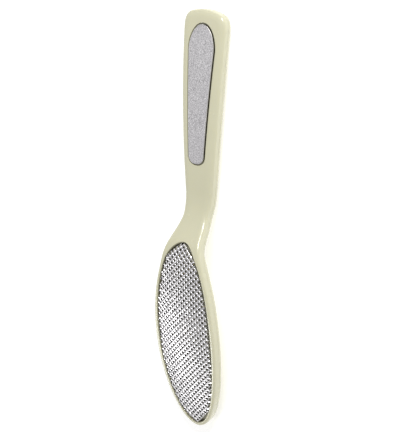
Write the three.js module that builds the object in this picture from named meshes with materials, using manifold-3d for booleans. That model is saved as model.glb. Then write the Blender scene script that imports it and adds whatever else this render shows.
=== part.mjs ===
// A hand-held foot file, 245 mm long. One end is an oval paddle with a crowned steel rasp, and the
// other is a straight handle with a fine abrasive strip set into its face.
//
// Every piece is first made flat. In that flat frame X runs from the handle's end (0) to the
// paddle's tip, Y runs crosswise, and Z is the height over the working face, so the body lies
// below Z = 0. bend() then carries the piece on to the side profile: a straight handle, a neck
// that steps forward, and an arched paddle. The finished tool lies on its back, face up.

import * as THREE from "three";
import { mergeVertices } from "three/addons/utils/BufferGeometryUtils.js";
import Module from "manifold-3d";

const { degToRad, mapLinear } = THREE.MathUtils;

// ---------------------------------------------------------------- driving dimensions
// Lengths are in millimetres and angles in degrees.

const LENGTH = 245;
const THICKNESS = 8;
const WALL = 1.6;
const GAP = 0.3; // clearance between two pieces that meet
const SPLIT = 4.2; // depth of the joint between the two shells
const FRONT_EDGE = 1.7; // edge radius of the front shell
const BACK_EDGE = 3; // edge radius of the rear cover

// Plan outline
const HANDLE_HALF = 14.6; // half width of the handle by its end
const END_CORNER = 11; // where the end's corner curve meets the handle's side
const END_CROWN = 1.6; // how far the end bulges between its corners
const SIDE_BOW = 0.8; // how far the handle's long sides bulge
const NECK_HALF = 8.65; // half width of the neck
const FLARE_START = 116.5; // where the neck begins to widen
const FLARE_END = 154; // where it has become the paddle's oval
const PADDLE_HALF_LENGTH = 57.4;
const PADDLE_HALF_WIDTH = 21.2;
const WINDOW_HALF_LENGTH = 55.5;
const RIM = 2.4; // width of the face between the window and the paddle's tip and sides

// Side profile of the working face
const HANDLE_ANGLE = 2; // slope at the handle's end
const HANDLE_RADIUS = 826; // the handle is very slightly arched
const HANDLE_LENGTH = 104;
const HOLLOW_RADIUS = 31.5;
const RAMP_ANGLE = 34;
const RAMP_LENGTH = 5.8;
const CREST_RADIUS = 18.6;
const PADDLE_ANGLE = -6; // slope where the paddle's long arch begins
const PADDLE_RADIUS = 386;
const REST_TILT = 3.5; // turn that lays both ends of the back on the table

// Rasp plate and its retainer
const SHEET = 0.5;
const CROWN = 2; // height of the plate's middle over its edge
const EDGE_RISE = 0.7; // height of the plate's edge over the face, up to the tips of its teeth
const BRIM = 0.3; // how far the brim reaches out under the window's lip
const RETAINER_WIDTH = 2;

// Abrasive strip, as layers in a pocket
const STRIP_START = 8;
const STRIP_END = 88.2;
const STRIP_WIDE = 9; // half width towards the handle's end
const STRIP_NARROW = 5.5; // half width towards the neck
const STRIP_WIDE_CURVE = 15; // length of the rounded wide end
const STRIP_NARROW_CURVE = 4.5;
const STRIP_LEAN = -1; // how far the strip leans to one side by its narrow end
const POCKET_DEPTH = 1.6;
const TAPE = 0.25;
const TAPE_INSET = 1;
const BACKING = 0.7;
const GRIT = 0.3;
const GRIT_INSET = 0.2;

// Locating pins, which join the shells down the handle's middle
const PIN_RADIUS = 1.5;
const BOSS_RADIUS = 3.2;
const PIN_PLACES = [20, 60, 100];
const PIN_SIDES = 20;

const PADDLE_CENTRE = LENGTH - PADDLE_HALF_LENGTH;
const WINDOW_CENTRE = LENGTH - RIM - WINDOW_HALF_LENGTH;
const WINDOW_HALF_WIDTH = PADDLE_HALF_WIDTH - RIM;
const CAVITY_FLOOR = -THICKNESS + WALL;

// Fineness of the curves
const OVAL_SIDES = 40;
const CURVE_STEPS = 7; // steps along each curve of the other outlines
const CROWN_RINGS = 3;
const CLEAR = 1; // how far a cutter runs past what it cuts

// ---------------------------------------------------------------- solids and booleans

const wasm = await Module();
wasm.setup();

function solidOf(geometry) {
  const bare = geometry.clone();
  bare.deleteAttribute("normal");
  bare.deleteAttribute("uv");
  const merged = mergeVertices(bare, 1e-4);
  const mesh = new wasm.Mesh({
    numProp: 3,
    vertProperties: merged.attributes.position.array,
    triVerts: new Uint32Array(merged.index.array),
  });
  return new wasm.Manifold(mesh);
}

function trianglesOf(solid) {
  const { vertProperties, triVerts, numProp } = solid.getMesh();
  const corners = Array.from(triVerts, (v) => new THREE.Vector3().fromArray(vertProperties, v * numProp));
  const count = corners.length / 3;
  return Array.from({ length: count }, (_, i) => corners.slice(3 * i, 3 * i + 3));
}

// A straight-sided solid over a plan outline, between two heights.
function prism(outline, low, high) {
  const geometry = new THREE.ExtrudeGeometry(outline, { depth: high - low, bevelEnabled: false });
  return solidOf(geometry.translate(0, 0, low));
}

// The same with both rims rounded, and drawn in from the outline by an inset.
function roundedSlab(outline, low, high, radius, inset = 0) {
  const geometry = new THREE.ExtrudeGeometry(outline, {
    depth: high - low - 2 * radius,
    bevelThickness: radius,
    bevelSize: radius,
    bevelOffset: -radius - inset,
    bevelSegments: Math.ceil(radius),
  });
  return solidOf(geometry.translate(0, 0, low + radius));
}

function post(x, radius, low, high) {
  const geometry = new THREE.CylinderGeometry(radius, radius, high - low, PIN_SIDES);
  return solidOf(geometry.rotateX(Math.PI / 2).translate(x, 0, (low + high) / 2));
}

// Everything between two heights, for parting the body into its shells.
function layer(low, high) {
  const geometry = new THREE.BoxGeometry(2 * LENGTH, LENGTH, high - low);
  return solidOf(geometry.translate(LENGTH / 2, 0, (low + high) / 2));
}

// ---------------------------------------------------------------- plan outlines

function mirroredShape(half) {
  const other = half.filter((p) => p.y > 1e-6).map((p) => new THREE.Vector2(p.x, -p.y));
  return new THREE.Shape([...half, ...other.reverse()]);
}

function bodyOutline() {
  const sideX = (END_CORNER + FLARE_START) / 2;
  const sideHalf = (HANDLE_HALF + NECK_HALF) / 2 + 2 * SIDE_BOW;
  const side = (x) => mapLinear(x, END_CORNER, sideX, HANDLE_HALF, sideHalf);
  const neck = (x) => mapLinear(x, sideX, FLARE_START, sideHalf, NECK_HALF);
  const across = (FLARE_END - PADDLE_CENTRE) / PADDLE_HALF_LENGTH;
  const flareHalf = PADDLE_HALF_WIDTH * Math.sqrt(1 - across ** 2);
  const flareSlope = (-across * PADDLE_HALF_WIDTH ** 2) / (flareHalf * PADDLE_HALF_LENGTH);
  // The flare's control point is where the neck's edge would meet the oval's tangent.
  const neckSlope = (NECK_HALF - sideHalf) / (FLARE_START - sideX);
  const meet = (flareHalf - flareSlope * FLARE_END - neck(0)) / (neckSlope - flareSlope);
  const shoulder = (2 / 3) * HANDLE_HALF; // half width where the end's crown turns into its corner
  const half = new THREE.Path();
  half.moveTo(0, 0);
  half.quadraticCurveTo(0, shoulder / 2, END_CROWN, shoulder);
  half.quadraticCurveTo(2 * END_CROWN, side(2 * END_CROWN), END_CORNER, HANDLE_HALF);
  half.quadraticCurveTo(sideX, sideHalf, FLARE_START, NECK_HALF);
  half.quadraticCurveTo(meet, neck(meet), FLARE_END, flareHalf);
  half.absellipse(PADDLE_CENTRE, 0, PADDLE_HALF_LENGTH, PADDLE_HALF_WIDTH, Math.acos(across), 0, true);
  return mirroredShape(half.getPoints(CURVE_STEPS));
}

// The window's oval, or one that lies inside it by an inset.
function ovalOutline(inset = 0) {
  const oval = new THREE.Path();
  oval.absellipse(WINDOW_CENTRE, 0, WINDOW_HALF_LENGTH - inset, WINDOW_HALF_WIDTH - inset, 0, 2 * Math.PI);
  return new THREE.Shape(oval.getPoints(OVAL_SIDES / 2).slice(0, -1));
}

// A long arch at the wide end, straight converging sides and a short round at the narrow end,
// all leaning a little to one side.
function stripOutline(inset = 0) {
  const start = STRIP_START + inset;
  const end = STRIP_END - inset;
  const wide = STRIP_WIDE - inset;
  const narrow = STRIP_NARROW - inset;
  const half = new THREE.Path();
  half.absellipse(start + STRIP_WIDE_CURVE, 0, STRIP_WIDE_CURVE, wide, Math.PI, Math.PI / 2, true);
  half.absellipse(end - STRIP_NARROW_CURVE, 0, STRIP_NARROW_CURVE, narrow, Math.PI / 2, 0, true);
  const lean = (x) => mapLinear(x, STRIP_START, STRIP_END, 0, STRIP_LEAN);
  const upright = mirroredShape(half.getPoints(CURVE_STEPS)).getPoints();
  return new THREE.Shape(upright.map(({ x, y }) => new THREE.Vector2(x, y + lean(x))));
}

function ring(outerInset, innerInset, low, high) {
  const opening = prism(ovalOutline(innerInset), low - CLEAR, high + CLEAR);
  return prism(ovalOutline(outerInset), low, high).subtract(opening);
}

// ---------------------------------------------------------------- side profile

const sine = (degrees) => Math.sin(degToRad(degrees));

// Each stretch keeps one curvature. It holds where it starts, the sine of its slope there, and
// how many slices a piece is cut into along it, so that the piece has vertices to bend at.
function makeProfile() {
  const neckSine = sine(HANDLE_ANGLE) - HANDLE_LENGTH / HANDLE_RADIUS;
  const hollow = HOLLOW_RADIUS * (sine(RAMP_ANGLE) - neckSine);
  const crest = CREST_RADIUS * (sine(RAMP_ANGLE) - sine(PADDLE_ANGLE));
  const arch = LENGTH - HANDLE_LENGTH - hollow - RAMP_LENGTH - crest;
  const stretches = [
    { length: HANDLE_LENGTH, curvature: -1 / HANDLE_RADIUS, slices: 3 },
    { length: hollow, curvature: 1 / HOLLOW_RADIUS, slices: 4 },
    { length: RAMP_LENGTH, curvature: 0, slices: 1 },
    { length: crest, curvature: -1 / CREST_RADIUS, slices: 4 },
    { length: arch, curvature: -1 / PADDLE_RADIUS, slices: 5 },
  ];
  let start = { x: 0, z: 0, sin: sine(HANDLE_ANGLE) };
  for (const stretch of stretches) {
    Object.assign(stretch, start);
    const { x, z, sin } = alongStretch(stretch, start.x + stretch.length);
    start = { x, z, sin };
  }
  return stretches;
}

function alongStretch({ x: startX, z: startZ, sin: startSin, curvature }, x) {
  const sin = startSin + curvature * (x - startX);
  const startCos = Math.sqrt(1 - startSin ** 2);
  const cos = Math.sqrt(1 - sin ** 2);
  const rise = curvature ? (startCos - cos) / curvature : (startSin / startCos) * (x - startX);
  return { x, z: startZ + rise, sin, cos };
}

const profile = makeProfile();
const stations = profile.flatMap(({ x, length, slices }) =>
  Array.from({ length: slices }, (_, i) => x + ((i + 1) * length) / slices),
);

// Heights stay at right angles to the profile, so the body keeps its thickness round each bend.
function bend(point) {
  const stretch = profile.findLast((s) => s.x <= point.x) ?? profile[0];
  const face = alongStretch(stretch, point.x);
  return new THREE.Vector3(face.x - point.z * face.sin, point.y, face.z + point.z * face.cos);
}

// Cuts every triangle that crosses the plane x = station into a piece on each side of it.
function sliceAt(triangles, station) {
  const SNAP = 1e-3;
  const side = (p) => (Math.abs(p.x - station) < SNAP ? 0 : Math.sign(p.x - station));
  const crossing = (a, b) => {
    const [p, q] = a.x < b.x ? [a, b] : [b, a];
    return p.clone().lerp(q, (station - p.x) / (q.x - p.x));
  };
  return triangles.flatMap((corners) => {
    const sides = corners.map(side);
    if (!sides.includes(1) || !sides.includes(-1)) return [corners];
    return [1, -1].flatMap((kept) => {
      const outline = corners.flatMap((corner, i) => {
        const next = (i + 1) % 3;
        const own = sides[i] === -kept ? [] : [corner];
        return sides[i] * sides[next] === -1 ? [...own, crossing(corner, corners[next])] : own;
      });
      return outline.slice(2).map((corner, i) => [outline[0], outline[i + 1], corner]);
    });
  });
}

// ---------------------------------------------------------------- pieces, in the flat frame

const windowLipDepth = WALL;
const brimTop = -windowLipDepth - GAP;
const retainerTop = brimTop - SHEET - GAP;
const pocketUnderside = -POCKET_DEPTH - WALL;

// Face, side wall and window lip in one moulding, hollow behind, with the strip's pocket in the
// handle and locating pins that stand down into the rear cover.
function frontShell() {
  const outline = bodyOutline();
  const body = roundedSlab(outline, -THICKNESS, 0, FRONT_EDGE);
  const hollow = roundedSlab(outline, -2 * THICKNESS, -WALL, FRONT_EDGE - WALL, WALL);
  const pocketBlock = prism(stripOutline(-GAP - WALL), pocketUnderside, -WALL / 2);
  const pocket = prism(stripOutline(-GAP), -POCKET_DEPTH, CLEAR);
  let shell = body.intersect(layer(-SPLIT, CLEAR)).subtract(hollow).add(pocketBlock.intersect(body));
  shell = shell.subtract(pocket).subtract(prism(ovalOutline(), -THICKNESS, CLEAR));
  for (const x of PIN_PLACES) {
    const root = x < STRIP_END ? pocketUnderside : -WALL;
    shell = shell.add(post(x, PIN_RADIUS, CAVITY_FLOOR + GAP, root + WALL / 2));
  }
  return shell;
}

// The closed back, a shallow tray with a socketed boss for each pin.
function rearCover() {
  const outline = bodyOutline();
  const body = roundedSlab(outline, -THICKNESS, 0, BACK_EDGE);
  const hollow = roundedSlab(outline, CAVITY_FLOOR, THICKNESS, BACK_EDGE - WALL, WALL);
  let cover = body.intersect(layer(-THICKNESS - CLEAR, -SPLIT - GAP)).subtract(hollow);
  for (const x of PIN_PLACES) {
    cover = cover.add(post(x, BOSS_RADIUS, CAVITY_FLOOR - WALL / 2, pocketUnderside - GAP));
    cover = cover.subtract(post(x, PIN_RADIUS + GAP, CAVITY_FLOOR, 0));
  }
  return cover;
}

// A crowned sheet with a turned-down skirt, and a brim that the window's lip holds down.
function raspPlate() {
  const halfLength = WINDOW_HALF_LENGTH - GAP;
  const halfWidth = WINDOW_HALF_WIDTH - GAP;
  const crownHeight = (r) => CROWN * (1 - r * r) + EDGE_RISE;
  const radii = Array.from({ length: CROWN_RINGS + 1 }, (_, i) => i / CROWN_RINGS);
  const under = radii.map((r) => new THREE.Vector2(r, crownHeight(r) - SHEET));
  const top = radii.toReversed().map((r) => new THREE.Vector2(r, crownHeight(r)));
  const crown = new THREE.LatheGeometry([...under, ...top], OVAL_SIDES, Math.PI / 2);
  crown.rotateX(Math.PI / 2).scale(halfLength, halfWidth, 1).translate(WINDOW_CENTRE, 0, 0);
  const skirt = ring(GAP, GAP + SHEET, brimTop - SHEET, EDGE_RISE - SHEET / 2);
  const brim = ring(-BRIM, GAP + SHEET, brimTop - SHEET, brimTop);
  return solidOf(crown).add(skirt).add(brim);
}

// Stands on the rear cover's floor and presses the rasp's brim up against the lip.
function raspRetainer() {
  return ring(GAP, RETAINER_WIDTH, CAVITY_FLOOR + GAP, retainerTop);
}

const tapeBottom = -POCKET_DEPTH + GAP;
const backingBottom = tapeBottom + TAPE + GAP;
const gritBottom = backingBottom + BACKING + GAP;

const stripTape = () => prism(stripOutline(TAPE_INSET), tapeBottom, tapeBottom + TAPE);
const stripBacking = () => prism(stripOutline(), backingBottom, backingBottom + BACKING);
const abrasiveStrip = () => prism(stripOutline(GRIT_INSET), gritBottom, gritBottom + GRIT);

// ---------------------------------------------------------------- assembly

function piece(name, flatSolid, look) {
  const sliced = stations.reduce(sliceAt, trianglesOf(flatSolid));
  const geometry = new THREE.BufferGeometry().setFromPoints(sliced.flat().map(bend));
  const mesh = new THREE.Mesh(mergeVertices(geometry, 1e-4), new THREE.MeshStandardMaterial(look));
  mesh.geometry.computeVertexNormals();
  mesh.name = name;
  return mesh;
}

const plastic = { color: 0xd3d0b4, roughness: 0.3, metalness: 0 };
const steel = { color: 0xc4c3c6, roughness: 0.3, metalness: 1 };

const tool = new THREE.Group();
tool.rotation.y = -degToRad(REST_TILT);
tool.add(
  piece("front_shell", frontShell(), plastic),
  piece("rear_cover", rearCover(), plastic),
  piece("rasp_plate", raspPlate(), steel),
  piece("rasp_retainer", raspRetainer(), { color: 0xd8d6c4, roughness: 0.5, metalness: 0 }),
  piece("strip_tape", stripTape(), { color: 0xe6e2d6, roughness: 0.8, metalness: 0 }),
  piece("strip_backing", stripBacking(), steel),
  piece("abrasive_strip", abrasiveStrip(), { color: 0xb9b7b8, roughness: 0.9, metalness: 0 }),
);

// The origin is on the table, under the middle of the tool.
const extent = new THREE.Box3().setFromObject(tool, true);
const middle = extent.getCenter(new THREE.Vector3());
tool.position.set(-middle.x, -middle.y, -extent.min.z);

const part = new THREE.Group();
part.add(tool);

export default part;
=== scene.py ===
# The finished looks of a hand-held foot file: a cream plastic body with a crowned, toothed steel
# rasp in its paddle and a fine abrasive strip in its handle, lying on its back on a pale floor.
#
# Pieces are made in the same flat frame as the CAD model, in millimetres: X from the handle's end
# to the paddle's tip, Y crosswise, Z up from the working face. bend() carries them on to the side
# profile, and to_row() tilts the tool on to its rest and turns millimetres into metres.

import math

import bmesh
import bpy
import numpy as np
from mathutils import Matrix, Vector


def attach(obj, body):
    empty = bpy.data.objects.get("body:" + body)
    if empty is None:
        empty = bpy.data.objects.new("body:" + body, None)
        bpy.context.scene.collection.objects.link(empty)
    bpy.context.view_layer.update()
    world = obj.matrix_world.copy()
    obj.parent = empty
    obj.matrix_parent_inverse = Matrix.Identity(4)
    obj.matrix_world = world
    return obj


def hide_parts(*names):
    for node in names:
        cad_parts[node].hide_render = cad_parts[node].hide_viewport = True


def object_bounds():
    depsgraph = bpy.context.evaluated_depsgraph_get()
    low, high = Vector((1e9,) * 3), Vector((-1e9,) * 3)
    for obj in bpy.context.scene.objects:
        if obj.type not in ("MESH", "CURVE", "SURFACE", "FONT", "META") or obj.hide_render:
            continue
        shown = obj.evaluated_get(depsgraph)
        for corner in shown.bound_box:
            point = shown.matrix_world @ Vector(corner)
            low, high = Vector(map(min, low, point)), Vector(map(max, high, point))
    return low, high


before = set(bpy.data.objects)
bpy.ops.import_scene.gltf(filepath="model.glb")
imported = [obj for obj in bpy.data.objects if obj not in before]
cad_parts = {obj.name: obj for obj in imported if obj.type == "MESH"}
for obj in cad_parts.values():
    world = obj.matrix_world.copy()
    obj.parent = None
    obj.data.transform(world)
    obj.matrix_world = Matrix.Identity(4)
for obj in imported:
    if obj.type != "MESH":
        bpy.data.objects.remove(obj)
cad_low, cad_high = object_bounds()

MM = 0.001

# ---------------------------------------------------------------- driving dimensions
# These repeat the CAD model's, in millimetres and degrees.

LENGTH = 245
THICKNESS = 8
WALL = 1.6
SPLIT = 4.2
HANDLE_HALF = 14.6
END_CORNER = 11
END_CROWN = 1.6
SIDE_BOW = 0.8
NECK_HALF = 8.65
FLARE_START = 116.5
FLARE_END = 154
PADDLE_HALF_LENGTH = 57.4
PADDLE_HALF_WIDTH = 21.2
PADDLE_CENTRE = LENGTH - PADDLE_HALF_LENGTH
RIM = 2.4
WINDOW_HALF_LENGTH = 55.5
WINDOW_HALF_WIDTH = PADDLE_HALF_WIDTH - RIM
WINDOW_CENTRE = LENGTH - RIM - WINDOW_HALF_LENGTH

HANDLE_ANGLE = 2
HANDLE_RADIUS = 826
HANDLE_LENGTH = 104
HOLLOW_RADIUS = 31.5
RAMP_ANGLE = 34
RAMP_LENGTH = 5.8
CREST_RADIUS = 18.6
PADDLE_ANGLE = -6
PADDLE_RADIUS = 386
REST_TILT = 3.5

STRIP_START = 8
STRIP_END = 88.2
STRIP_WIDE = 9
STRIP_NARROW = 5.5
STRIP_WIDE_CURVE = 15
STRIP_NARROW_CURVE = 4.5
STRIP_LEAN = -1  # how far the strip leans to one side by its narrow end
POCKET_DEPTH = 1.6

PIN_RADIUS = 1.5
BOSS_RADIUS = 3.2
PIN_PLACES = [20, 60, 100]

# What only the looks need
SEAM = 0.1  # gap between the two shells
FACE_EDGE_SPREAD = (4.6, 1.3)  # how far the front edge's rounding reaches in: handle, paddle
FACE_EDGE_DROP = (2.3, 1.95)  # and how far down
BACK_EDGE = 3
EDGE_STEPS = 9
NECK_START = 100  # where the front edge begins to sharpen towards the paddle
LIP_RADIUS = 0.35  # rounding of the window's and the pocket's edges
LIP_STEPS = 5
POCKET_GAP = 0.6
STATION_STEP = 1.5  # spacing of the cuts that let a flat piece bend
CURVE_STEPS = 60  # along each curve of an outline, before its points are spaced evenly
STRIP_CURVE_STEPS = 40
OVAL_SIDES = 300
BODY_SPACING = 1.2  # between the points of an outline
STRIP_SPACING = 0.8
POST_SIDES = 32
WELD = 1e-5

# ---------------------------------------------------------------- side profile


def sine(degrees):
    return math.sin(math.radians(degrees))


def make_profile():
    """Stretches of one curvature each: where it starts, its height and slope's sine there."""
    neck_sine = sine(HANDLE_ANGLE) - HANDLE_LENGTH / HANDLE_RADIUS
    hollow = HOLLOW_RADIUS * (sine(RAMP_ANGLE) - neck_sine)
    crest = CREST_RADIUS * (sine(RAMP_ANGLE) - sine(PADDLE_ANGLE))
    arch = LENGTH - HANDLE_LENGTH - hollow - RAMP_LENGTH - crest
    lengths = [HANDLE_LENGTH, hollow, RAMP_LENGTH, crest, arch]
    curvatures = [-1 / HANDLE_RADIUS, 1 / HOLLOW_RADIUS, 0, -1 / CREST_RADIUS, -1 / PADDLE_RADIUS]
    x, z, sin = 0.0, 0.0, sine(HANDLE_ANGLE)
    stretches = []
    for length, curvature in zip(lengths, curvatures):
        stretches.append((x, z, sin, curvature))
        rise, sin, _ = along_stretch(np.array([x + length]), x, sin, curvature)
        x, z, sin = x + length, z + rise[0], sin[0]
    return stretches


def along_stretch(x, start_x, start_sin, curvature):
    sin = start_sin + curvature * (x - start_x)
    cos = np.sqrt(1 - sin**2)
    start_cos = math.sqrt(1 - start_sin**2)
    if curvature:
        return (start_cos - cos) / curvature, sin, cos
    return start_sin / start_cos * (x - start_x), sin, cos


PROFILE = make_profile()


def bend(points):
    """Flat frame to side profile. Heights stay at right angles to the profile."""
    x, y, z = points.T
    face, sin, cos = np.zeros_like(x), np.zeros_like(x), np.ones_like(x)
    ends = [start[0] for start in PROFILE[1:]] + [np.inf]
    begins = [-np.inf] + ends[:-1]
    for begin, end, (start_x, start_z, start_sin, curvature) in zip(begins, ends, PROFILE):
        here = (x >= begin) & (x < end)
        rise, sin[here], cos[here] = along_stretch(x[here], start_x, start_sin, curvature)
        face[here] = start_z + rise
    return np.column_stack([x - z * sin, y, face + z * cos])


def tilt(points):
    turn = Matrix.Rotation(-math.radians(REST_TILT), 3, "Y")
    return points @ np.array(turn).T


# ---------------------------------------------------------------- plan outlines


def quadratic(a, b, c, steps):
    t = np.linspace(0, 1, steps, endpoint=False)[:, None]
    a, b, c = (np.array(p, float) for p in (a, b, c))
    return (1 - t) ** 2 * a + 2 * t * (1 - t) * b + t**2 * c


def elliptic(centre_x, half_x, half_y, start, end, steps):
    angle = np.radians(np.linspace(start, end, steps, endpoint=False))
    return np.column_stack([centre_x + half_x * np.cos(angle), half_y * np.sin(angle)])


def mirrored(half):
    """A closed outline from its +Y half, which runs along X from axis to axis."""
    other = half[half[:, 1] > 1e-6] * [1, -1]
    return np.vstack([half, other[::-1]])


def even(outline, spacing):
    """The same closed outline with evenly spaced points, starting at its first one."""
    closed = np.vstack([outline, outline[:1]])
    run = np.concatenate([[0], np.cumsum(np.linalg.norm(np.diff(closed, axis=0), axis=1))])
    count = 2 * round(run[-1] / spacing / 2)
    places = np.linspace(0, run[-1], count, endpoint=False)
    return np.column_stack([np.interp(places, run, closed[:, k]) for k in (0, 1)])


def body_outline():
    side_x = (END_CORNER + FLARE_START) / 2
    side_half = (HANDLE_HALF + NECK_HALF) / 2 + 2 * SIDE_BOW
    neck_slope = (NECK_HALF - side_half) / (FLARE_START - side_x)
    side_slope = (side_half - HANDLE_HALF) / (side_x - END_CORNER)
    across = (FLARE_END - PADDLE_CENTRE) / PADDLE_HALF_LENGTH
    flare_half = PADDLE_HALF_WIDTH * math.sqrt(1 - across**2)
    flare_slope = -across * PADDLE_HALF_WIDTH**2 / (flare_half * PADDLE_HALF_LENGTH)
    neck_at_zero = side_half - neck_slope * side_x
    meet = (flare_half - flare_slope * FLARE_END - neck_at_zero) / (neck_slope - flare_slope)
    shoulder = 2 / 3 * HANDLE_HALF  # half width where the end's crown turns into its corner
    corner_x = 2 * END_CROWN
    corner_y = HANDLE_HALF + side_slope * (corner_x - END_CORNER)
    meet_y = neck_at_zero + neck_slope * meet
    flare_angle = math.degrees(math.acos(across))
    steps = CURVE_STEPS
    half = np.vstack([
        quadratic((0, 0), (0, shoulder / 2), (END_CROWN, shoulder), steps),
        quadratic((END_CROWN, shoulder), (corner_x, corner_y), (END_CORNER, HANDLE_HALF), steps),
        quadratic((END_CORNER, HANDLE_HALF), (side_x, side_half), (FLARE_START, NECK_HALF), steps),
        quadratic((FLARE_START, NECK_HALF), (meet, meet_y), (FLARE_END, flare_half), steps),
        elliptic(PADDLE_CENTRE, PADDLE_HALF_LENGTH, PADDLE_HALF_WIDTH, flare_angle, 0, 2 * steps),
        [(LENGTH, 0)],
    ])
    return even(mirrored(half), BODY_SPACING)


def oval_outline():
    return elliptic(WINDOW_CENTRE, WINDOW_HALF_LENGTH, WINDOW_HALF_WIDTH, 0, 360, OVAL_SIDES)


def strip_middle(x):
    """Where across the handle the strip's middle runs."""
    return STRIP_LEAN * (x - STRIP_START) / (STRIP_END - STRIP_START)


def strip_outline():
    wide, narrow = STRIP_WIDE_CURVE, STRIP_NARROW_CURVE
    half = np.vstack([
        elliptic(STRIP_START + wide, wide, STRIP_WIDE, 180, 90, STRIP_CURVE_STEPS),
        elliptic(STRIP_END - narrow, narrow, STRIP_NARROW, 90, 0, STRIP_CURVE_STEPS),
        [(STRIP_END, 0)],
    ])
    outline = even(mirrored(half), STRIP_SPACING)
    outline[:, 1] += strip_middle(outline[:, 0])
    return outline


def outward(outline):
    """Unit normals that point out of a closed outline."""
    along = np.roll(outline, -1, axis=0) - np.roll(outline, 1, axis=0)
    normal = np.column_stack([along[:, 1], -along[:, 0]])
    normal /= np.linalg.norm(normal, axis=1)[:, None]
    x, y = outline.T
    area = np.sum(x * np.roll(y, -1) - y * np.roll(x, -1))
    return normal * np.sign(area)


def smooth(x, low, high):
    t = np.clip((x - low) / (high - low), 0, 1)
    return t * t * (3 - 2 * t)


# ---------------------------------------------------------------- flat solids


def new_object(name, vertices, faces):
    mesh = bpy.data.meshes.new(name)
    mesh.from_pydata(np.asarray(vertices).tolist(), [], faces)
    obj = bpy.data.objects.new(name, mesh)
    bpy.context.scene.collection.objects.link(obj)
    return obj


def stack(name, outline, levels):
    """A closed solid from rings of one outline. Each level is (how far out, height), where each
    is one number or one per outline point."""
    normal = outward(outline)
    count = len(outline)
    rings = []
    for out, height in levels:
        plan = outline + normal * np.broadcast_to(out, count)[:, None]
        rings.append(np.column_stack([plan, np.broadcast_to(height, count)]))
    faces = []
    for level in range(len(levels) - 1):
        for i in range(count):
            j = (i + 1) % count
            low, high = level * count, (level + 1) * count
            faces.append((low + i, low + j, high + j, high + i))
    faces.append(tuple(range(count))[::-1])
    faces.append(tuple(range((len(levels) - 1) * count, len(levels) * count)))
    obj = new_object(name, np.vstack(rings), faces)
    recalculate(obj)
    return obj


def recalculate(obj):
    edit = bmesh.new()
    edit.from_mesh(obj.data)
    bmesh.ops.recalc_face_normals(edit, faces=edit.faces)
    edit.to_mesh(obj.data)
    edit.free()


def combine(obj, tools, operation):
    """Joins, cuts or intersects a closed solid with others, which are used up."""
    for tool in tools:
        modifier = obj.modifiers.new("boolean", "BOOLEAN")
        modifier.object = tool
        modifier.operation = operation
        modifier.solver = "MANIFOLD"
        settle(obj)
        bpy.data.objects.remove(tool)
    return obj


def settle(obj):
    """Applies an object's modifiers to its mesh."""
    bpy.context.view_layer.update()
    evaluated = obj.evaluated_get(bpy.context.evaluated_depsgraph_get())
    mesh = bpy.data.meshes.new_from_object(evaluated)
    obj.modifiers.clear()
    obj.data = mesh


def post(x, radius, low, high):
    circle = elliptic(x, radius, radius, 0, 360, POST_SIDES)
    return stack("post", circle, [(0, low), (0, high)])


def cut_at_stations(obj):
    """Cuts a flat piece across every so often, so that it has vertices to bend at."""
    edit = bmesh.new()
    edit.from_mesh(obj.data)
    first = min(v.co.x for v in edit.verts)
    last = max(v.co.x for v in edit.verts)
    for x in np.arange(first + STATION_STEP, last - STATION_STEP / 2, STATION_STEP):
        everything = edit.verts[:] + edit.edges[:] + edit.faces[:]
        place = Vector((x, 0, 0))
        bmesh.ops.bisect_plane(edit, geom=everything, dist=WELD, plane_co=place, plane_no=(1, 0, 0))
    bmesh.ops.remove_doubles(edit, verts=edit.verts, dist=WELD)
    edit.to_mesh(obj.data)
    edit.free()
    obj.data.materials.clear()


def flat_points(obj):
    co = np.empty(len(obj.data.vertices) * 3)
    obj.data.vertices.foreach_get("co", co)
    return co.reshape(-1, 3)


def to_row(obj, sharp=35):
    """Bends a flat piece, lays it on its rest in metres and gives it smooth shading."""
    points = tilt(bend(flat_points(obj))) * MM + row_offset
    obj.data.vertices.foreach_set("co", points.ravel())
    obj.data.update()
    obj.data.shade_smooth()
    obj.data.set_sharp_from_angle(angle=math.radians(sharp))
    modifier = obj.modifiers.new("weighted", "WEIGHTED_NORMAL")
    modifier.keep_sharp = True
    settle(obj)
    return obj


# ---------------------------------------------------------------- the body

CAVITY_FLOOR = -THICKNESS + WALL
POCKET_UNDERSIDE = -POCKET_DEPTH - WALL
DEEP = 3 * THICKNESS  # beyond the body, for the cutters


def body_slab(name):
    """The whole body's outside, its front edge softer on the handle than on the paddle."""
    outline = body_outline()
    share = smooth(outline[:, 0], NECK_START, FLARE_END)
    spread = FACE_EDGE_SPREAD[0] + (FACE_EDGE_SPREAD[1] - FACE_EDGE_SPREAD[0]) * share
    drop = FACE_EDGE_DROP[0] + (FACE_EDGE_DROP[1] - FACE_EDGE_DROP[0]) * share
    levels = []
    for angle in np.radians(np.linspace(90, 0, EDGE_STEPS)):
        levels.append((-spread * (1 - math.cos(angle)), -drop * (1 - math.sin(angle))))
    for angle in np.radians(np.linspace(0, 90, EDGE_STEPS)):
        rise = BACK_EDGE * (1 - math.sin(angle))
        levels.append((-BACK_EDGE * (1 - math.cos(angle)), -THICKNESS + rise))
    return stack(name, outline, levels[::-1])


def lipped_cutter(outline, out, bottom):
    """A straight-sided cutter that leaves the face's edge rounded."""
    levels = [(out, bottom)]
    for angle in np.radians(np.linspace(0, 90, LIP_STEPS)):
        drop = LIP_RADIUS * (1 - math.sin(angle))
        levels.append((out + LIP_RADIUS * (1 - math.cos(angle)), -drop))
    levels.append((out + LIP_RADIUS, DEEP))
    return stack("cutter", outline, levels)


def half_space(low, high):
    box = LENGTH * np.array([(-1.0, -1.0), (2.0, -1.0), (2.0, 1.0), (-1.0, 1.0)])
    return stack("half", box, [(0, low), (0, high)])


def hollow_of(top, bottom):
    return stack("hollow", body_outline(), [(-WALL, bottom), (-WALL, top)])


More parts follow.
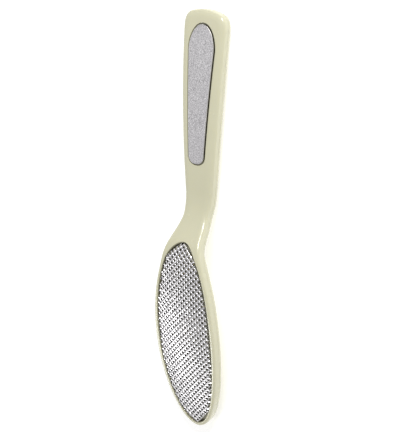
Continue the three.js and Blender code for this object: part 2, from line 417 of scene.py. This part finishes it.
def front_shell():
    shell = combine(body_slab("body_front"), [half_space(-SPLIT, DEEP)], "INTERSECT")
    hollow = hollow_of(-WALL, -DEEP)
    around = POCKET_GAP + WALL
    block = stack("block", strip_outline(), [(around, POCKET_UNDERSIDE), (around, 0)])
    combine(hollow, [block], "DIFFERENCE")
    combine(shell, [hollow], "DIFFERENCE")
    combine(shell, [lipped_cutter(strip_outline(), POCKET_GAP, -POCKET_DEPTH)], "DIFFERENCE")
    combine(shell, [lipped_cutter(oval_outline(), 0, -DEEP)], "DIFFERENCE")
    for x in PIN_PLACES:
        root = POCKET_UNDERSIDE if x < STRIP_END else -WALL
        combine(shell, [post(x, PIN_RADIUS, CAVITY_FLOOR + SEAM, root + WALL / 2)], "UNION")
    return shell


def rear_cover():
    cover = combine(body_slab("body_rear"), [half_space(-DEEP, -SPLIT - SEAM)], "INTERSECT")
    outline = body_outline()
    inner = BACK_EDGE - WALL
    levels = [(-WALL - inner, CAVITY_FLOOR), (-WALL - inner / 3, CAVITY_FLOOR + inner / 3)]
    levels += [(-WALL, CAVITY_FLOOR + inner), (-WALL, DEEP)]
    combine(cover, [stack("hollow", outline, levels)], "DIFFERENCE")
    for x in PIN_PLACES:
        top = POCKET_UNDERSIDE - SEAM if x < STRIP_END else -SPLIT
        combine(cover, [post(x, BOSS_RADIUS, CAVITY_FLOOR - WALL / 2, top)], "UNION")
        combine(cover, [post(x, PIN_RADIUS + SEAM, CAVITY_FLOOR, DEEP)], "DIFFERENCE")
    return cover


# ---------------------------------------------------------------- the rasp

TOOTH_ALONG = 1.6  # half the distance between teeth along the tool
TOOTH_ACROSS = 1.67  # and across it, in a lattice turned by 45 degrees
TOOTH_HOLE = 0.72  # radius
TOOTH_HEIGHT = 0.7
SHEET = 0.4
CROWN = 1.9
PLATE_EDGE_DEPTH = 0.25  # how far the plate's shoulder lies under the face
PLATE_GAP = 0.8  # between the turned-down edge and the window
SHOULDER_RADIUS = 0.5
SKIRT = 0.7  # how far past the start of the shoulder the last cells' middles lie
SIDE_STEPS = 4  # boundary points along each side of a tooth's diamond
STEEPEST = 88  # degrees that the edge turns down by
TOOTH_SPREAD = 0.1  # share by which a tooth may be taller or shorter
TOOTH_LEAN = 0.06
TOOTH_WELD = 1e-3
# Over a tooth: (share of the way from its hole to its diamond, share of its height)
TOOTH_TOP = [(0, 0.9), (0.08, 1), (0.22, 0.82), (0.42, 0.42), (0.68, 0.12), (1, 0)]
TOOTH_UNDER = [(0, 0.7), (0.4, 0.3), (1, 0)]

PLATE_HALF_LENGTH = WINDOW_HALF_LENGTH - PLATE_GAP - SHOULDER_RADIUS
PLATE_HALF_WIDTH = WINDOW_HALF_WIDTH - PLATE_GAP - SHOULDER_RADIUS


def form_plate(points):
    """Carries a flat toothed sheet on to the crowned plate with its edge turned down."""
    x, y, height = points.T
    x = x.copy()
    reach = np.hypot(x / PLATE_HALF_LENGTH, y / PLATE_HALF_WIDTH)
    inside = np.minimum(reach, 1)
    shrink = np.where(reach > 1, 1 / np.maximum(reach, 1e-9), 1)
    edge_x, edge_y = x * shrink, y * shrink
    over = np.hypot(x - edge_x, y - edge_y)
    slope_x = -2 * CROWN * edge_x / PLATE_HALF_LENGTH**2
    slope_y = -2 * CROWN * edge_y / PLATE_HALF_WIDTH**2
    steep = np.hypot(slope_x, slope_y)
    start = np.arctan(steep)
    limit = math.radians(STEEPEST)
    angle = np.minimum(start + over / SHOULDER_RADIUS, limit)
    straight = np.maximum(over - (limit - start) * SHOULDER_RADIUS, 0)
    out = SHOULDER_RADIUS * (np.sin(angle) - np.sin(start)) + straight * np.cos(angle)
    down = SHOULDER_RADIUS * (np.cos(start) - np.cos(angle)) + straight * np.sin(angle)
    away = -np.column_stack([slope_x, slope_y]) / np.maximum(steep, 1e-9)[:, None]
    crown = CROWN * (1 - inside**2) - PLATE_EDGE_DEPTH
    plan = np.column_stack([edge_x, edge_y]) + away * (out + height * np.sin(angle))[:, None]
    return np.column_stack([plan, crown - down + height * np.cos(angle)]) + [WINDOW_CENTRE, 0, 0]


def diamond():
    """Points round a tooth's diamond, which it shares with its neighbours."""
    ahead, beside = np.array([TOOTH_ALONG, 0]), np.array([0, TOOTH_ACROSS])
    corners = np.array([ahead, beside, -ahead, -beside])
    share = np.arange(SIDE_STEPS)[:, None] / SIDE_STEPS
    sides = [a + (b - a) * share for a, b in zip(corners, np.roll(corners, -1, axis=0))]
    return np.vstack(sides)


def rasp_plate():
    """A sheet of punched teeth, one in each diamond of the lattice, out over the shoulder."""
    rim = diamond()
    around = len(rim)
    angle = np.arctan2(rim[:, 1], rim[:, 0])
    hole = TOOTH_HOLE * np.column_stack([np.cos(angle), np.sin(angle)])
    vertices, faces, shaded = [], [], []
    random = np.random.default_rng(7)
    columns = math.ceil((PLATE_HALF_LENGTH + SKIRT) / TOOTH_ALONG)
    rows = math.ceil((PLATE_HALF_WIDTH + SKIRT) / TOOTH_ACROSS)
    for i in range(-columns, columns + 1):
        for j in range(-rows, rows + 1):
            if (i + j) % 2:
                continue
            centre = np.array([i * TOOTH_ALONG, j * TOOTH_ACROSS])
            reach = math.hypot(centre[0] / PLATE_HALF_LENGTH, centre[1] / PLATE_HALF_WIDTH)
            over = np.linalg.norm(centre) * (1 - 1 / max(reach, 1e-9))
            if over > SKIRT:
                continue
            tall = TOOTH_HEIGHT * random.uniform(1 - TOOTH_SPREAD, 1 + TOOTH_SPREAD)
            lean = random.uniform(-TOOTH_LEAN, TOOTH_LEAN, 2)
            rings = []
            for levels, drop in ((TOOTH_TOP, 0), (TOOTH_UNDER, SHEET)):
                for share, height in levels:
                    plan = centre + hole + (rim - hole) * share + lean * height
                    rings.append(len(vertices))
                    vertices += [(*p, height * tall - drop) for p in plan]
            upper, lower = rings[: len(TOOTH_TOP)], rings[len(TOOTH_TOP):]
            # The top faces take the steel; the underside and the holes' walls take the second material,
            # painted shade.
            bright = list(zip(upper, upper[1:]))
            dark = list(zip(lower[1:], lower)) + [(lower[0], upper[0])]
            for pairs, look in ((bright, 0), (dark, 1)):
                for a, b in pairs:
                    for k in range(around):
                        n = (k + 1) % around
                        faces.append((a + k, b + k, b + n, a + n))
                        shaded.append(look)
    plate = new_object("rasp_blade", form_plate(np.array(vertices)), faces)
    plate.data.polygons.foreach_set("material_index", shaded)
    close_edge(plate)
    return plate


def close_edge(plate):
    """Welds the teeth to each other and closes the sheet's cut edge."""
    edit = bmesh.new()
    edit.from_mesh(plate.data)
    bmesh.ops.remove_doubles(edit, verts=edit.verts, dist=TOOTH_WELD)
    open_edges = [e for e in edit.edges if e.is_boundary]
    bmesh.ops.bridge_loops(edit, edges=open_edges)
    bmesh.ops.recalc_face_normals(edit, faces=edit.faces)
    edit.to_mesh(plate.data)
    edit.free()


# ---------------------------------------------------------------- the strip

BACKING_TOP = 0.4
BACKING_BOTTOM = -0.9  # just clear of the tape
PAINTED_SHADE_BELOW = -0.05  # below this the strip's cut edge gets painted shade, dark down in its pocket
BACKING_INSET = 0.22
BACKING_CHAMFER = 0.08
BACKING_ROUND = 0.12
CARRIER = 0.06  # thickness of the film that holds the grains
CARRIER_GAP = 0.005
GRIT_INSET = 0.45
GRIT_HEIGHT = 0.2
GRAIN = 0.26
GRAIN_SCATTER = 0.35  # share of a grain's spacing that it may stray by
NARROWEST = 0.02


def strip_half(x):
    """Half width of the strip at a place along it."""
    along, across = strip_outline().T
    out = across - strip_middle(along)
    upper = out >= 0
    order = np.argsort(along[upper])
    return np.interp(x, along[upper][order], out[upper][order])


def strip_backing():
    side = -BACKING_INSET
    levels = [(side - BACKING_CHAMFER, BACKING_BOTTOM), (side, BACKING_BOTTOM + BACKING_CHAMFER)]
    levels += [(side, PAINTED_SHADE_BELOW), (side, BACKING_TOP - BACKING_ROUND)]
    levels += [(side - BACKING_ROUND, BACKING_TOP)]
    return stack("strip_plate", strip_outline(), levels)


def paint_shade_below(obj, height):
    """Gives the faces of a flat piece that lie under a height its second material, the painted shade.
    """
    for face in obj.data.polygons:
        face.material_index = int(face.center.z < height)


def abrasive_strip():
    """A carrier with a coat of angular grains, each a raised grid point of its own height."""
    length = STRIP_END - STRIP_START - 2 * GRIT_INSET
    columns = round(length / GRAIN)
    rows = round(2 * STRIP_WIDE / GRAIN)
    x = STRIP_START + GRIT_INSET + length * np.linspace(0, 1, columns + 1)
    half = np.maximum(strip_half(x) - GRIT_INSET, NARROWEST)
    across = np.linspace(-1, 1, rows + 1)
    random = np.random.default_rng(11)
    grid_x = np.repeat(x[:, None], rows + 1, axis=1)
    grid_y = half[:, None] * across[None] + strip_middle(grid_x)
    inner = np.ones_like(grid_y)
    inner[:, [0, -1]] = 0
    inner[[0, -1]] = 0
    stray = random.uniform(-GRAIN_SCATTER, GRAIN_SCATTER, grid_x.shape)
    grid_x = grid_x + inner * stray * GRAIN
    height = BACKING_TOP + CARRIER + inner * GRIT_HEIGHT * random.random(grid_x.shape) ** 1.5
    top = np.column_stack([grid_x.ravel(), grid_y.ravel(), height.ravel()])
    wide = rows + 1
    faces = []
    for c in range(columns):
        for r in range(rows):
            a = c * wide + r
            faces += [(a, a + wide, a + wide + 1), (a, a + wide + 1, a + 1)]
    edge = [c * wide for c in range(columns + 1)]
    edge += [columns * wide + r for r in range(1, rows + 1)]
    edge += [c * wide + rows for c in range(columns - 1, -1, -1)]
    edge += list(range(rows - 1, 0, -1))
    base = top[edge].copy()
    base[:, 2] = BACKING_TOP + CARRIER_GAP
    first = len(top)
    count = len(edge)
    for k in range(count):
        n = (k + 1) % count
        faces.append((edge[n], edge[k], first + k, first + n))
    # The underside is cut across at every column too, so that it bends with the handle
    right = [2 * columns + rows - c for c in range(columns + 1)]
    faces.append([first + k for k in [1, 0, *range(count - 1, right[1] - 1, -1)]])
    for c in range(1, columns - 1):
        faces.append([first + k for k in (c + 1, c, right[c], right[c + 1])])
    faces.append([first + k for k in range(right[columns - 1], columns - 2, -1)])
    strip = new_object("grit_layer", np.vstack([top, base]), faces)
    recalculate(strip)
    return strip


# ---------------------------------------------------------------- materials


SOCKETS = {
    "color": "Base Color",
    "metallic": "Metallic",
    "roughness": "Roughness",
    "coat": "Coat Weight",
    "coat_roughness": "Coat Roughness",
    "subsurface": "Subsurface Weight",
    "subsurface_radius": "Subsurface Radius",
    "subsurface_scale": "Subsurface Scale",
}


def new_material(name, **values):
    """A material, its node tree and its shader, with plain values set on the shader itself."""
    material = bpy.data.materials.new(name)
    material.use_nodes = True
    tree = material.node_tree
    shader = tree.nodes["Principled BSDF"]
    for key, value in values.items():
        shader.inputs[SOCKETS[key]].default_value = value
    return material, tree, shader


def noise(tree, scale, detail=3.0, roughness=0.5, stretch=(1, 1, 1)):
    """Noise over the row frame; scale is in features per metre."""
    place = tree.nodes.new("ShaderNodeTexCoord")
    mapping = tree.nodes.new("ShaderNodeMapping")
    mapping.inputs["Scale"].default_value = stretch
    texture = tree.nodes.new("ShaderNodeTexNoise")
    texture.inputs["Scale"].default_value = scale
    texture.inputs["Detail"].default_value = detail
    texture.inputs["Roughness"].default_value = roughness
    tree.links.new(place.outputs["Object"], mapping.inputs["Vector"])
    tree.links.new(mapping.outputs["Vector"], texture.inputs["Vector"])
    return texture.outputs["Fac"]


def ramp(tree, source, stops):
    """Maps a value through colour stops, each (place, grey or colour)."""
    node = tree.nodes.new("ShaderNodeValToRGB")
    elements = node.color_ramp.elements
    while len(elements) < len(stops):
        elements.new(0.5)
    for element, (place, colour) in zip(elements, stops):
        element.position = place
        rgb = colour if isinstance(colour, tuple) else (colour,) * 3
        element.color = (*rgb, 1)
    tree.links.new(source, node.inputs["Fac"])
    return node.outputs["Color"]


def bump(tree, shader, height, distance, strength=1.0):
    node = tree.nodes.new("ShaderNodeBump")
    node.inputs["Distance"].default_value = distance
    node.inputs["Strength"].default_value = strength
    tree.links.new(height, node.inputs["Height"])
    tree.links.new(node.outputs["Normal"], shader.inputs["Normal"])


def cream_plastic():
    material, tree, shader = new_material(
        "cream_plastic", color=(0.6, 0.575, 0.4, 1), roughness=0.25, coat=0.5, coat_roughness=0.05,
        subsurface=0.08, subsurface_radius=(1, 0.9, 0.5), subsurface_scale=0.002,
    )
    tone = ramp(tree, noise(tree, 60), [(0.3, (0.65, 0.63, 0.452)), (0.7, (0.67, 0.65, 0.468))])
    tree.links.new(tone, shader.inputs["Base Color"])
    sheen = ramp(tree, noise(tree, 140, 4, 0.6), [(0.3, 0.2), (0.75, 0.3)])
    tree.links.new(sheen, shader.inputs["Roughness"])
    bump(tree, shader, noise(tree, 900, 2), 0.00001)
    return material


def rasp_steel():
    material, tree, shader = new_material("rasp_steel", color=(0.78, 0.77, 0.79, 1), metallic=1.0)
    tone = ramp(tree, noise(tree, 500), [(0.3, (0.76, 0.75, 0.76)), (0.7, (0.9, 0.89, 0.9))])
    tree.links.new(tone, shader.inputs["Base Color"])
    rough = ramp(tree, noise(tree, 1500, 4, 0.6), [(0.3, 0.18), (0.75, 0.34)])
    tree.links.new(rough, shader.inputs["Roughness"])
    bump(tree, shader, noise(tree, 2500, 3), 0.00002)
    return material


def painted_shade_steel():
    """Painted shade: steel coloured nearly black where shade falls, in the punched holes, on the
    sheet's underside, and on the strip's cut edge down in its pocket."""
    material, tree, shader = new_material("painted_shade_steel", color=(0.05, 0.05, 0.05, 1), metallic=1.0)
    tone = ramp(tree, noise(tree, 900), [(0.3, (0.008, 0.007, 0.006)), (0.7, (0.03, 0.027, 0.024))])
    tree.links.new(tone, shader.inputs["Base Color"])
    rough = ramp(tree, noise(tree, 1500), [(0.3, 0.45), (0.7, 0.7)])
    tree.links.new(rough, shader.inputs["Roughness"])
    return material


def edge_steel():
    material, tree, shader = new_material("edge_steel", color=(0.72, 0.7, 0.66, 1), metallic=1.0)
    rough = ramp(tree, noise(tree, 900, 4, 0.6, (0.1, 1, 1)), [(0.3, 0.4), (0.75, 0.55)])
    tree.links.new(rough, shader.inputs["Roughness"])
    bump(tree, shader, noise(tree, 3000, 2), 0.00001)
    return material


def grit():
    material, tree, shader = new_material("grit", color=(0.5, 0.5, 0.52, 1), roughness=0.55)
    grains = noise(tree, 2400, 2, 0.7)
    tone = ramp(tree, grains, [(0.36, (0.26, 0.25, 0.26)), (0.5, (0.5, 0.488, 0.5)),
                               (0.62, (0.78, 0.765, 0.78))])
    tree.links.new(tone, shader.inputs["Base Color"])
    rough = ramp(tree, noise(tree, 1800, 1), [(0.3, 0.4), (0.7, 0.8)])
    tree.links.new(rough, shader.inputs["Roughness"])
    return material


def plain_plastic(name, light, dark):
    material, tree, shader = new_material(name, color=(*light, 1))
    tone = ramp(tree, noise(tree, 300), [(0.3, dark), (0.7, light)])
    tree.links.new(tone, shader.inputs["Base Color"])
    rough = ramp(tree, noise(tree, 600), [(0.3, 0.45), (0.7, 0.65)])
    tree.links.new(rough, shader.inputs["Roughness"])
    bump(tree, shader, noise(tree, 1200), 0.00002)
    return material


def finish_piece(obj, materials, slot, *nodes):
    for material in materials:
        obj.data.materials.append(material)
    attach(obj, "root")
    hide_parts(*nodes)


# ---------------------------------------------------------------- building the tool


def offset_of(*parts):
    """What moves the tilted tool so that its box has the CAD box's middle and base."""
    points = np.vstack([tilt(bend(flat_points(part))) for part in parts]) * MM
    low, high = points.min(axis=0), points.max(axis=0)
    middle = (np.array(cad_low) + np.array(cad_high)) / 2
    place = middle - (low + high) / 2
    place[2] = cad_low.z - low[2]
    return place


def repaint(node, material):
    """Keeps a hidden piece's CAD mesh and gives it a material."""
    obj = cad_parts[node]
    obj.data.materials.clear()
    obj.data.materials.append(material)


shell, cover = front_shell(), rear_cover()
for half in (shell, cover):
    cut_at_stations(half)
row_offset = offset_of(shell, cover)

plastic = cream_plastic()
finish_piece(to_row(shell), [plastic], "body_plastic", "front_shell")
finish_piece(to_row(cover), [plastic], "body_plastic", "rear_cover")
# Painted shade: a near-black steel for the holes, the sheet's underside and the strip's cut edge
painted_shade = painted_shade_steel()
finish_piece(to_row(rasp_plate(), 50), [rasp_steel(), painted_shade], "rasp_steel", "rasp_plate")

backing = strip_backing()
cut_at_stations(backing)
# the cut edge down in the pocket gets painted shade
paint_shade_below(backing, PAINTED_SHADE_BELOW)
finish_piece(to_row(backing), [edge_steel(), painted_shade], "backing_steel", "strip_backing")
strip = to_row(abrasive_strip(), 5)
finish_piece(strip, [grit()], "abrasive", "abrasive_strip")

ring_plastic = plain_plastic("retainer", (0.6, 0.58, 0.45), (0.52, 0.5, 0.38))
foam = plain_plastic("tape", (0.75, 0.72, 0.65), (0.65, 0.62, 0.55))
repaint("rasp_retainer", ring_plastic)
repaint("strip_tape", foam)

# ---------------------------------------------------------------- floor, light and camera

FLOOR_GLOW = 0.38  # a lit floor keeps the shadows faint
FLOOR_HALF = 3.0  # metres
CAMERA_AZIMUTH = 115.1  # of the camera, from +X towards +Y
CAMERA_ELEVATION = 48.94
CAMERA_ROLL = -108.43
CAMERA_DISTANCE = 1.5
CAMERA_LENS = 221.5
AIM_RIGHT = 0.0048  # of the tool's middle, in the image
AIM_UP = 0.0048

middle = (cad_low + cad_high) / 2


def lay_floor():
    half = FLOOR_HALF
    corners = [(-half, -half, 0), (half, -half, 0), (half, half, 0), (-half, half, 0)]
    floor = new_object("floor", corners, [(0, 1, 2, 3)])
    material, tree, shader = new_material("floor", color=(0.9, 0.9, 0.9, 1), roughness=0.9)
    tone = ramp(tree, noise(tree, 3), [(0.3, 0.88), (0.7, 0.9)])
    tree.links.new(tone, shader.inputs["Base Color"])
    shader.inputs["Emission Color"].default_value = (1, 1, 1, 1)
    shader.inputs["Emission Strength"].default_value = FLOOR_GLOW
    floor.data.materials.append(material)


def add_light(name, towards, distance, size, power):
    """A square soft light that shines at the tool from a direction."""
    light = bpy.data.lights.new(name, "AREA")
    light.size = size
    light.energy = power
    lamp = bpy.data.objects.new(name, light)
    away = Vector(towards).normalized()
    lamp.location = middle + away * distance
    lamp.rotation_euler = away.to_track_quat("Z", "Y").to_euler()
    bpy.context.scene.collection.objects.link(lamp)


def set_world(grey):
    world = bpy.data.worlds.new("studio")
    world.use_nodes = True
    world.node_tree.nodes["Background"].inputs["Color"].default_value = (grey, grey, grey, 1)
    bpy.context.scene.world = world


def add_camera():
    azimuth, elevation = math.radians(CAMERA_AZIMUTH), math.radians(CAMERA_ELEVATION)
    level = math.cos(elevation)
    away = Vector((level * math.cos(azimuth), level * math.sin(azimuth), math.sin(elevation)))
    place = middle + away * CAMERA_DISTANCE
    turn = away.to_track_quat("Z", "Y").to_matrix() @ Matrix.Rotation(math.radians(CAMERA_ROLL), 3, "Z")
    aim = middle + turn @ Vector((AIM_RIGHT, AIM_UP, 0))
    back = (place - aim).normalized()
    right = turn.col[1].cross(back).normalized()
    up = back.cross(right)
    camera = bpy.data.objects.new("camera", bpy.data.cameras.new("camera"))
    camera.data.lens = CAMERA_LENS
    camera.data.sensor_width = 36
    camera.data.clip_start = 0.1
    camera.location = place
    camera.rotation_euler = Matrix((right, up, back)).transposed().to_euler()
    bpy.context.scene.collection.objects.link(camera)
    bpy.context.scene.camera = camera


lay_floor()
set_world(0.5)
add_light("key", (-0.85, 0.35, 0.6), 0.9, 0.3, 4.4)
add_light("panel", (0.6, -0.6, 0.5), 0.9, 0.3, 1.4)
add_light("fill", (0.7, 0.5, 0.6), 0.9, 0.6, 0.7)
add_camera()
bpy.context.scene.view_settings.view_transform = "Standard"
